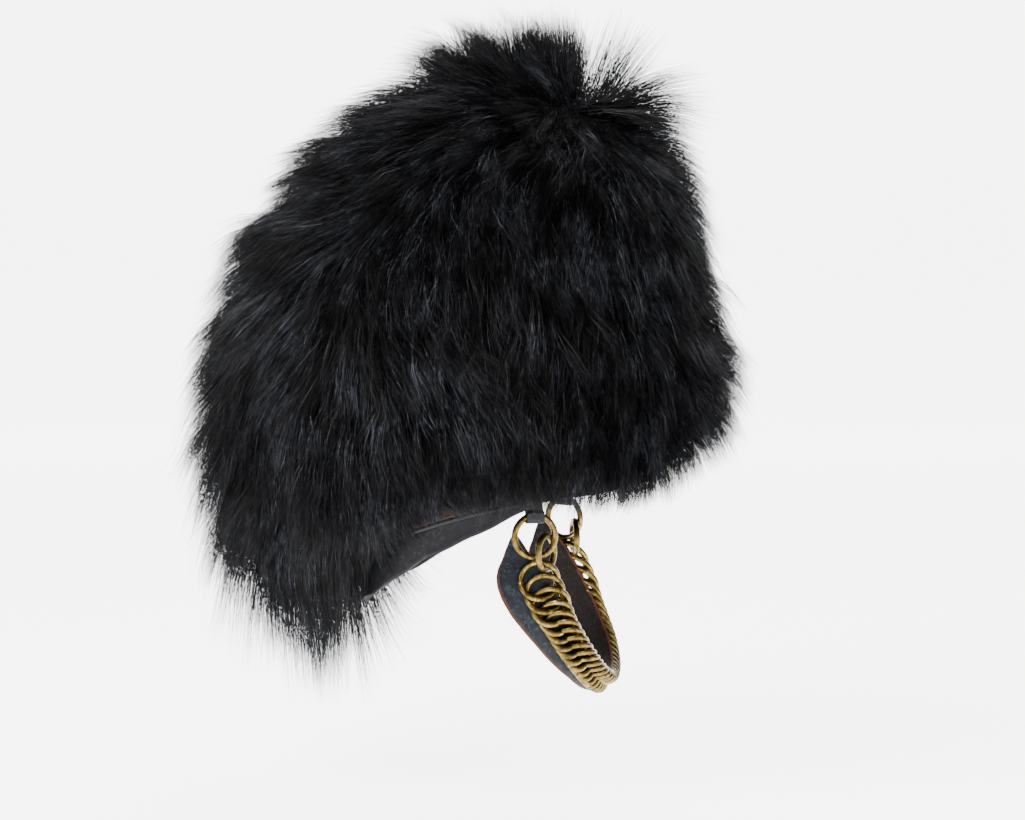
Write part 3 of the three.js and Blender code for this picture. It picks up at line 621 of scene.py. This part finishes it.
def crest(settings, rng):
    """The upright hairs behind the whorl and the loose see-through fan before it."""
    counts = np.round(CREST_TUFTS[:, 0] * settings.crest).astype(int)
    columns = np.repeat(CREST_TUFTS[:, 1:], counts, axis=0).T
    row, bearing, width, rise, fan, length, slant, splay, bow = columns
    count = len(row)
    rise = np.radians(rise + rng.normal(0, 1, count) * fan)
    row = np.clip(row + rng.normal(0, CREST_ROW_SPREAD, count), COLLAR_TOP, WHORL - WHORL_MARGIN)
    angle = np.radians(bearing + rng.normal(0, 1, count) * width)
    step = (length * MM * rng.uniform(*CREST_SHARES, count) / SEGMENTS)[:, None]
    points = [body_at(row, angle) + body_frame(row, angle)[1] * CREST_FOOT]
    sideways = slant + spread(rng, 1, count) * splay
    for k in range(SEGMENTS):
        bent = rise - ((k + 0.5) / SEGMENTS - CREST_BOW_FROM) * np.radians(bow)
        points.append(points[-1] + unit(place(np.cos(bent), sideways, np.sin(bent))) * step)
    lines = np.stack(points, axis=1)
    kept = within_reach(lines)
    return lines[kept], rng.random(kept.sum()) * CREST_TONE


def strand_mesh(name, lines, tone, width, rng):
    """A mesh of thin tapered blades along the centre lines."""
    n = len(lines)
    tangent = unit(np.gradient(lines, axis=1))
    fixed = unit(rng.normal(0, 1, (n, 1, 3)))
    side = unit(np.cross(tangent, fixed))
    taper = np.linspace(1, 0, SEGMENTS + 1) ** BLADE_TAPER
    taper[0] = BLADE_ROOT
    half = (width * drawn(rng, *BLADE_WIDTHS, n))[:, None, None] * taper[None, :, None] / 2
    left, right = lines - side * half, lines + side * half
    body = np.stack([left[:, :-1], right[:, :-1]], axis=2).reshape(n, 2 * SEGMENTS, 3)
    verts = np.concatenate([body, lines[:, -1:]], axis=1)
    per = 2 * SEGMENTS + 1
    base = (np.arange(n) * per)[:, None]
    quads = np.array([[2 * k, 2 * k + 1, 2 * k + 3, 2 * k + 2] for k in range(SEGMENTS - 1)])
    tip = np.array([2 * SEGMENTS - 2, 2 * SEGMENTS - 1, 2 * SEGMENTS])
    loops = np.concatenate([base + quads.ravel()[None], base + tip[None]], axis=1).ravel()
    sizes = np.tile(np.array([4] * (SEGMENTS - 1) + [3]), n)
    mesh = bpy.data.meshes.new(name)
    mesh.vertices.add(n * per)
    mesh.vertices.foreach_set("co", verts.astype(np.float32).ravel())
    mesh.loops.add(len(loops))
    mesh.loops.foreach_set("vertex_index", loops.astype(np.int32))
    mesh.polygons.add(len(sizes))
    mesh.polygons.foreach_set("loop_start", np.concatenate([[0], np.cumsum(sizes)[:-1]]).astype(np.int32))
    mesh.update(calc_edges=True)
    mesh.shade_smooth()
    tones = np.repeat(tone, per).astype(np.float32)
    mesh.attributes.new("tone", "FLOAT", "POINT").data.foreach_set("value", tones)
    return mesh


# The rim, the band and the tabs


def about_rim(angle, offset, rise):
    """Points at an offset outside the head opening's oval, above or below the rim."""
    level = body_at(np.zeros_like(angle), angle)[:, 2]
    forward = (OPENING_LENGTH / 2 + offset) * np.cos(angle)
    return place(forward, (OPENING_BREADTH / 2 + offset) * np.sin(angle), level + rise)


def band_drop(angle):
    """How far the head band shows below the rim."""
    from_front = 180 - np.abs(180 - np.degrees(angle % (2 * math.pi)))
    share = np.clip((from_front - BAND_DROP_STARTS) / (180 - BAND_DROP_STARTS), 0, 1)
    return BAND_DROP_FRONT + BAND_DROP_MORE * np.sin(share * math.pi / 2)


def grid_strip(along, across, place_point):
    """A strip of faces with UVs, its vertices put by a function of their shares along and across."""
    bm = bmesh.new()
    bm.loops.layers.uv.verify()
    bmesh.ops.create_grid(bm, x_segments=across, y_segments=along, size=0.5, calc_uvs=True)
    shares = np.array([(v.co.y + 0.5, v.co.x + 0.5) for v in bm.verts])
    for vert, point in zip(bm.verts, place_point(shares[:, 0], shares[:, 1])):
        vert.co = point
    return bm


def head_band(material):
    """The smooth leather band, slightly wavy at its lower edge, with a rolled foot."""

    def at(along, across):
        angle = along * 2 * math.pi
        drop = band_drop(angle)
        wave = 1.1 * MM * np.sin(7 * angle + 0.6) + 0.6 * MM * np.sin(17 * angle)
        rise = (1 - across) * (-drop + wave * np.clip(drop / (20 * MM), 0, 1)) + across * BAND_RISE
        ripple = 0.5 * MM * np.sin(11 * angle + 2 * across) * (1 - across)
        bulge = 0.25 * MM * np.exp(-((across * (drop + BAND_RISE) - 2.2 * MM) / (1.6 * MM)) ** 2)
        return about_rim(angle, BAND_WALL - CLEARANCE + ripple * 0.4 + bulge, rise)

    bm = grid_strip(220, 24, at)
    bmesh.ops.remove_doubles(bm, verts=bm.verts, dist=0.01 * MM)
    bmesh.ops.recalc_face_normals(bm, faces=bm.faces)
    obj = finished("head_band_leather", bm, material)
    wall = obj.modifiers.new("Wall", "SOLIDIFY")
    wall.thickness, wall.offset = BAND_WALL - CLEARANCE, -1
    return obj


def ring_about(points, radius_at, sides):
    """A closed tube of changing radius round a closed line of points, as a bmesh."""
    bm = bmesh.new()
    count = len(points)
    spin_radius = 4
    profile = bmesh.ops.create_circle(bm, segments=sides, radius=1.0)["verts"]
    bmesh.ops.transform(bm, matrix=Matrix.Rotation(math.pi / 2, 4, "X"), verts=profile)
    bmesh.ops.translate(bm, vec=(spin_radius, 0, 0), verts=profile)
    spun = {"angle": 2 * math.pi, "steps": count, "axis": (0, 0, 1), "cent": (0, 0, 0), "use_merge": True}
    bmesh.ops.spin(bm, geom=bm.verts[:] + bm.edges[:], **spun)
    co = np.array([v.co for v in bm.verts])
    turn = np.arctan2(co[:, 1], co[:, 0])
    i = np.round(turn / (2 * math.pi) * count).astype(int) % count
    tangent = unit(np.roll(points, -1, axis=0) - np.roll(points, 1, axis=0))
    middle = points.mean(axis=0)
    outward = points - middle
    outward = unit(outward - dot(outward, tangent) * tangent)
    other = np.cross(tangent, outward)
    section_x = np.hypot(co[:, 0], co[:, 1]) - spin_radius
    section = outward[i] * section_x[:, None] + other[i] * co[:, 2:3]
    for vert, point in zip(bm.verts, points[i] + section * radius_at(i / count)[:, None]):
        vert.co = point
    bmesh.ops.recalc_face_normals(bm, faces=bm.faces)
    return bm


def welt(material):
    """The rolled leather under the hide's edge, drawn in a little by its stitches."""
    radius = WELT_DIAMETER / 2
    angle = np.linspace(0, 2 * math.pi, 240, endpoint=False)
    middle = about_rim(angle, BAND_WALL + CLEARANCE + radius, -CLEARANCE - radius)
    bm = ring_about(middle, lambda s: radius * (1 - WELT_DENT * np.cos(s * 2 * math.pi * WELT_DENTS)), 12)
    return finished("rim_welt_leather", bm, material)


def welt_stitches(thread):
    """Whipped stitches that hold the welt to the hide's edge, slanted across the seam."""
    bm = bmesh.new()
    outside = BAND_WALL + CLEARANCE + HIDE_WALL
    for angle in np.linspace(0, 2 * math.pi, STITCHES, endpoint=False):
        low, high = (
            about_rim(np.array([angle + slant]), outside + off, rise)[0]
            for slant, off, rise in STITCH_ENDS
        )
        way = unit(high - low)
        side = unit(np.cross(way, (math.cos(angle), math.sin(angle), 0.3)))
        turn = Matrix((way, side, np.cross(way, side))).transposed().to_4x4()
        turn.translation = Vector((low + high) / 2)
        made = bmesh.ops.create_uvsphere(bm, u_segments=6, v_segments=6, radius=1.0)["verts"]
        thin = STITCH_THICKNESS / 2
        shape = Matrix.Diagonal((np.linalg.norm(high - low) / 2, thin, thin, 1))
        lengthwise = Matrix.Rotation(math.pi / 2, 4, "Y")
        bmesh.ops.transform(bm, matrix=turn @ shape @ lengthwise, verts=made)
    return finished("welt_stitches", bm, thread)


# The chain and the strap


def smooth_route(points, count):
    """Evenly spaced points on a smooth curve through the route."""
    fine = through_rows(points, np.linspace(0, len(points) - 1, 4000))
    walked = np.concatenate([[0], np.cumsum(np.linalg.norm(np.diff(fine, axis=0), axis=1))])
    even = np.linspace(0, walked[-1], count)
    return np.stack([np.interp(even, walked, fine[:, k]) for k in range(3)], axis=1), walked[-1]


RIGHT_SIDE = place(*CHIN_ROUTE.T)
ROUTE = np.concatenate([RIGHT_SIDE, RIGHT_SIDE[-2::-1] * (-1, 1, 1)])
CHIN_LINE, CHIN_LENGTH = smooth_route(ROUTE, 2401)


def chin_frame(share):
    """At shares of the chin loop: the point, the way along, out of its face and to the rear."""
    at = np.asarray(share) * (len(CHIN_LINE) - 1)
    read = lambda rows: np.stack([np.interp(at, np.arange(len(rows)), rows[:, k]) for k in range(3)], axis=-1)
    point = read(CHIN_LINE)
    along = unit(read(np.gradient(CHIN_LINE, axis=0)))
    out = point - place(*CHIN_CENTRE)
    out = unit(out - dot(out, along) * along)
    return point, along, out, np.cross(along, out)


def towards_chin(share):
    return 1 - np.abs(2 * np.asarray(share) - 1)


def link_shares():
    """Shares of the loop where the links lie, a pitch apart."""
    fine = np.linspace(CHAIN_START / CHIN_LENGTH, 1 - CHAIN_START / CHIN_LENGTH, 4001)
    pitch = np.interp(towards_chin(fine), CHAIN_ALONG, CHAIN_PITCH)
    turns = np.concatenate([[0], np.cumsum(np.diff(fine) * CHIN_LENGTH / pitch[1:])])
    gaps = round(turns[-1])
    return np.interp(np.linspace(0, turns[-1], gaps + 1), turns, fine)


def wire_ring(centre, along, across, out, radius, wire, lean=0.0, twist=0.0, steps=48, sides=12):
    """A ring of round wire whose ends may lean and whose sides may twist out of its plane."""
    turn = np.linspace(0, 2 * math.pi, steps, endpoint=False)[:, None]
    line = centre + along * radius * np.cos(turn) + across * radius * np.sin(turn)
    line = line + out * (twist * np.sin(2 * turn) - lean * np.cos(turn))
    return ring_about(line, lambda s: np.full_like(s, wire / 2), sides)


def chain(material):
    """The graduated curb chain, each link lying over one neighbour and under the other."""
    bm = bmesh.new()
    for share in link_shares():
        point, along, out, rear = chin_frame(share)
        at = towards_chin(share)
        width, wire, pitch = (np.interp(at, CHAIN_ALONG, t) for t in (CHAIN_WIDTH, CHAIN_WIRE, CHAIN_PITCH))
        radius = (width - wire) / 2
        crossing = pitch / radius * math.sqrt(1 - (pitch / (2 * radius)) ** 2)
        lean = LEAN * wire
        twist = (TWIST * wire + lean * pitch / (2 * radius)) / crossing
        made = wire_ring(point, along, rear, out, radius, wire, lean, min(twist, MOST_TWIST * wire))
        spare = bpy.data.meshes.new("link")
        made.to_mesh(spare)
        made.free()
        bm.from_mesh(spare)
        bpy.data.meshes.remove(spare)
    return finished("chin_chain", bm, material)


def round_of_node(node, steps, material):
    """A finely divided ring in the place of a faceted one."""
    co = np.array([v.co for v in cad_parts[node].data.vertices])
    centre = (co.max(axis=0) + co.min(axis=0)) / 2
    axes = np.linalg.svd(co - co.mean(axis=0), full_matrices=False)[2]
    outer, wire = RING_SIZES[node.split("_")[0]]
    bm = wire_ring(centre, *axes, (outer - wire) / 2, wire, steps=steps, sides=16)
    return finished(f"{node}_brass", bm, material)


def chin_strap(underside, face):
    """The leather backing of the chain, a flat strip that follows its inner side and narrows to the rings."""

    def at(along, across):
        point, way, out, rear = chin_frame(along)
        near = towards_chin(along)
        beyond = STRAP_TIP * np.maximum(0, 1 - near / STRAP_TIP_SHARE) * np.sign(along - 0.5)
        point = point + way * beyond[:, None]
        width = np.interp(near, STRAP_ALONG, STRAP_WIDTHS)
        setback = np.interp(near, STRAP_ALONG, STRAP_SETBACK)
        wire = np.interp(near, CHAIN_ALONG, CHAIN_WIRE)
        behind = 1.1 * wire + CLEARANCE + STRAP_BEHIND - STRAP_CUP * (2 * across - 1) ** 2
        return point + rear * (setback + (across - 0.5) * width)[:, None] - out * behind[:, None]

    bm = grid_strip(160, 10, at)
    bmesh.ops.recalc_face_normals(bm, faces=bm.faces)
    obj = finished("chin_strap_leather", bm, underside)
    obj.data.materials.append(face)
    wall = obj.modifiers.new("Wall", "SOLIDIFY")
    wall.thickness, wall.offset, wall.material_offset = STRAP_WALL, -1, 1
    edge = obj.modifiers.new("Edges", "BEVEL")
    edge.width, edge.segments, edge.limit_method = STRAP_EDGE, 2, "ANGLE"
    return obj


# The studio


def extrude_by(bm, edges, step):
    """Draws edges out into faces by a step."""
    made = bmesh.ops.extrude_edge_only(bm, edges=edges)["geom"]
    bmesh.ops.translate(bm, vec=step, verts=[v for v in made if isinstance(v, bmesh.types.BMVert)])


def point_at(obj, azimuth, elevation, distance):
    """Puts a lamp or camera round the point looked at and turns it to face it."""
    flat = math.cos(elevation)
    back = Vector((math.sin(azimuth) * flat, -math.cos(azimuth) * flat, math.sin(elevation)))
    obj.location = AIM + back * distance
    obj.rotation_euler = (-back).to_track_quat("-Z", "Y").to_euler()


# Sizes and colours


class BearskinFur(bpy.types.PropertyGroup):
    hairs: bpy.props.IntProperty(
        name="Hairs", description="How many hairs cover the hide", default=160000, min=1000
    )
    locks: bpy.props.IntProperty(
        name="Locks", description="How many locks the hairs gather into", default=3000, min=50
    )
    crest: bpy.props.FloatProperty(
        name="Crest", description="How dense the loose hair about the whorl is", default=1.0
    )
    length: bpy.props.FloatProperty(
        name="Length", description="Length of the longest fur", default=0.08, unit="LENGTH"
    )
    width: bpy.props.FloatProperty(
        name="Width", description="Width of a hair's blade", default=0.0004, unit="LENGTH"
    )
    gloss: bpy.props.FloatProperty(
        name="Roughness", description="Roughness of the hair", default=0.4, subtype="FACTOR"
    )
    seed: bpy.props.IntProperty(name="Seed", description="Seed of the fur's lie", default=7)


class BearskinFinish(bpy.types.PropertyGroup):
    # The rubbed brass colour also serves as the painted highlight on the brass
    brass: bpy.props.FloatVectorProperty(
        name="Brass", description="Colour of the rubbed brass", default=(0.46, 0.36, 0.13), subtype="COLOR"
    )
    leather: bpy.props.FloatVectorProperty(
        name="Leather",
        description="Colour of the dark leather",
        default=(0.003, 0.003, 0.004),
        subtype="COLOR",
    )


class BearskinStage(bpy.types.PropertyGroup):
    azimuth: bpy.props.FloatProperty(
        name="Azimuth", description="The camera's angle round", default=math.radians(280), subtype="ANGLE"
    )
    elevation: bpy.props.FloatProperty(
        name="Elevation", description="The camera's angle up", default=math.radians(4), subtype="ANGLE"
    )
    distance: bpy.props.FloatProperty(
        name="Distance", description="From the hat to the camera", default=2.35, unit="LENGTH"
    )
    floor: bpy.props.FloatProperty(
        name="Floor", description="The floor's level", default=-0.185, unit="LENGTH"
    )


# Operators


class BEARSKIN_OT_hide(bpy.types.Operator):
    """Makes the hide and the matted underfur on it"""

    bl_idname = "bearskin.hide"
    bl_label = "Make the Hide"

    def execute(self, context):
        carried(body_shell("hide_skin", 0, 0.0, HIDE_WALL, hide_material()), "hide", "hide")
        reach = CLEARANCE + UNDERFUR_REACH
        carried(body_shell("underfur", COLLAR_TOP, reach, UNDERFUR_WALL, underfur_material()), "fur", "fur")
        return {"FINISHED"}


class BEARSKIN_OT_fur(bpy.types.Operator):
    """Grows the long fur in locks, in one piece for each side and one for the crown"""

    bl_idname = "bearskin.fur"
    bl_label = "Grow the Fur"

    def execute(self, context):
        settings = context.scene.bearskin_fur
        rng = np.random.default_rng(settings.seed)
        material = hair_material(settings)
        lines, tone, row, angle = strands(settings, rng)
        top = row > CROWN_ROW
        round_from_front = (angle + math.pi / 4) % (2 * math.pi)
        sides = np.argsort(np.where(top, 99.0, round_from_front))[: int((~top).sum())]
        parts = list(zip(("front", "right", "back", "left"), np.array_split(sides, 4)))
        for name, chosen in [*parts, ("crown", np.flatnonzero(top))]:
            chosen_lines, chosen_tone = lines[chosen], tone[chosen]
            if name == "crown":
                extra_lines, extra_tone = crest(settings, rng)
                chosen_lines = np.concatenate([chosen_lines, extra_lines])
                chosen_tone = np.concatenate([chosen_tone, extra_tone])
            mesh = strand_mesh(f"fur_{name}", chosen_lines, chosen_tone, settings.width, rng)
            mesh.materials.append(material)
            carried(new_object(f"fur_{name}", mesh), "fur")
        return {"FINISHED"}


class BEARSKIN_OT_leather(bpy.types.Operator):
    """Makes the head band, the welt, the tabs' finish and the chin strap"""

    bl_idname = "bearskin.leather"
    bl_label = "Make the Leather"

    def execute(self, context):
        dark = tuple(context.scene.bearskin_finish.leather)
        pale, worn = (0.006, 0.006, 0.0075), (0.014, 0.014, 0.016)
        black = leather_material("black_leather", dark, pale, worn, gloss=0.4, wear=0.97)
        dark, pale, worn = (0.0025, 0.003, 0.0045), (0.012, 0.0145, 0.019), (0.05, 0.02, 0.011)
        face = leather_material("worn_leather", dark, pale, worn, gloss=0.42, wear=0.86)
        dark, pale, worn = (0.002, 0.0013, 0.001), (0.006, 0.0035, 0.0027), (0.07, 0.024, 0.013)
        underside = leather_material("leather_underside", dark, pale, worn, gloss=0.6, wear=0.88)
        carried(head_band(black), "black_leather", "head_band")
        carried(welt(black), "black_leather", "rim_welt")
        carried(welt_stitches(thread_material()), "black_leather")
        for side in ("right", "left"):
            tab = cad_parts[f"tab_{side}"]
            tab.data.materials.clear()
            tab.data.materials.append(black)
        carried(chin_strap(underside, face), "worn_leather", "chin_strap")
        return {"FINISHED"}


class BEARSKIN_OT_brass(bpy.types.Operator):
    """Makes the rings, the joining links and the chin chain"""

    bl_idname = "bearskin.brass"
    bl_label = "Make the Brass"

    def execute(self, context):
        brass = brass_material(context.scene.bearskin_finish)
        carried(chain(brass), "brass", "chain")
        for side in ("right", "left"):
            for node, steps in ((f"ring_{side}", 96), (f"link_{side}", 80)):
                carried(round_of_node(node, steps, brass), "brass", node)
        return {"FINISHED"}


class BEARSKIN_OT_stage(bpy.types.Operator):
    """Sets the floor, the backdrop, the lights and the camera"""

    bl_idname = "bearskin.stage"
    bl_label = "Set the Stage"

    def execute(self, context):
        settings = context.scene.bearskin_stage
        s = Shader("pale_paper", base_color=(0.9, 0.9, 0.9, 1), roughness=0.9, specular_ior_level=0.1)
        behind = s.node("ShaderNodeNewGeometry").outputs["Backfacing"]
        s.to("Alpha", s.maths("SUBTRACT", 1.0, behind))  # clear from behind, so the hat shows from below too
        s.shader.inputs["Emission Color"].default_value = (1, 1, 1, 1)
        s.shader.inputs["Emission Strength"].default_value = PAPER_LIGHT
        bm = bmesh.new()
        corners = [bm.verts.new((x, SWEEP_BEHIND, settings.floor)) for x in (-SWEEP_SIDE, SWEEP_SIDE)]
        edge = bm.edges.new(corners)
        turn = Matrix.Rotation(settings.azimuth, 4, "Z")
        extrude_by(bm, [edge], (0, -SWEEP_DEPTH, 0))
        axis = {"axis": (1, 0, 0), "cent": (0, SWEEP_BEHIND, settings.floor + SWEEP_BEND)}
        bmesh.ops.spin(bm, geom=[edge, *edge.verts], angle=math.pi / 2, steps=14, **axis)
        rim = [e for e in bm.edges if all(v.co.z > settings.floor + 0.99 * SWEEP_BEND for v in e.verts)]
        extrude_by(bm, rim, (0, 0, SWEEP_WALL))
        bmesh.ops.transform(bm, matrix=turn, verts=bm.verts)
        bmesh.ops.recalc_face_normals(bm, faces=bm.faces)
        if min(bm.faces, key=lambda f: f.calc_center_median().z).normal.z < 0:
            bmesh.ops.reverse_faces(bm, faces=bm.faces)
        finished("sweep", bm, s.material)
        world = bpy.data.worlds.new("studio")
        world.use_nodes = True
        world.node_tree.nodes["Background"].inputs["Color"].default_value = (1, 1, 1, 1)
        world.node_tree.nodes["Background"].inputs["Strength"].default_value = AIR_LIGHT
        context.scene.world = world
        for name, azimuth, elevation, distance, size, power in LAMPS:
            light = bpy.data.lights.new(name, "AREA")
            light.energy, light.size = power, size
            lamp = bpy.data.objects.new(name, light)
            context.scene.collection.objects.link(lamp)
            point_at(lamp, settings.azimuth + azimuth, elevation, distance)
        camera = bpy.data.objects.new("camera", bpy.data.cameras.new("camera"))
        context.scene.collection.objects.link(camera)
        point_at(camera, settings.azimuth, settings.elevation, settings.distance)
        camera.data.sensor_width = SENSOR
        camera.data.lens = SENSOR * PIXELS_PER_METRE * settings.distance / PHOTO_WIDTH
        camera.data.clip_end = 50
        context.scene.camera = camera
        return {"FINISHED"}


class BEARSKIN_PT_panel(bpy.types.Panel):
    bl_label = "Bearskin"
    bl_idname = "BEARSKIN_PT_panel"
    bl_space_type = "VIEW_3D"
    bl_region_type = "UI"
    bl_category = "Bearskin"

    def draw(self, context):
        for group, operators in (
            (context.scene.bearskin_fur, ("bearskin.hide", "bearskin.fur")),
            (context.scene.bearskin_finish, ("bearskin.leather", "bearskin.brass")),
            (context.scene.bearskin_stage, ("bearskin.stage",)),
        ):
            for key in group.bl_rna.properties.keys():
                if key not in {"rna_type", "name"}:
                    self.layout.prop(group, key)
            for operator in operators:
                self.layout.operator(operator)


CLASSES = (
    BearskinFur,
    BearskinFinish,
    BearskinStage,
    BEARSKIN_OT_hide,
    BEARSKIN_OT_fur,
    BEARSKIN_OT_leather,
    BEARSKIN_OT_brass,
    BEARSKIN_OT_stage,
    BEARSKIN_PT_panel,
)


def register():
    for cls in CLASSES:
        bpy.utils.register_class(cls)
    bpy.types.Scene.bearskin_fur = bpy.props.PointerProperty(type=BearskinFur)
    bpy.types.Scene.bearskin_finish = bpy.props.PointerProperty(type=BearskinFinish)
    bpy.types.Scene.bearskin_stage = bpy.props.PointerProperty(type=BearskinStage)


def unregister():
    del bpy.types.Scene.bearskin_fur
    del bpy.types.Scene.bearskin_finish
    del bpy.types.Scene.bearskin_stage
    for cls in reversed(CLASSES):
        bpy.utils.unregister_class(cls)


def main():
    register()
    bpy.ops.bearskin.hide()
    bpy.ops.bearskin.fur()
    bpy.ops.bearskin.leather()
    bpy.ops.bearskin.brass()
    bpy.ops.bearskin.stage()


if __name__ == "__main__":
    main()
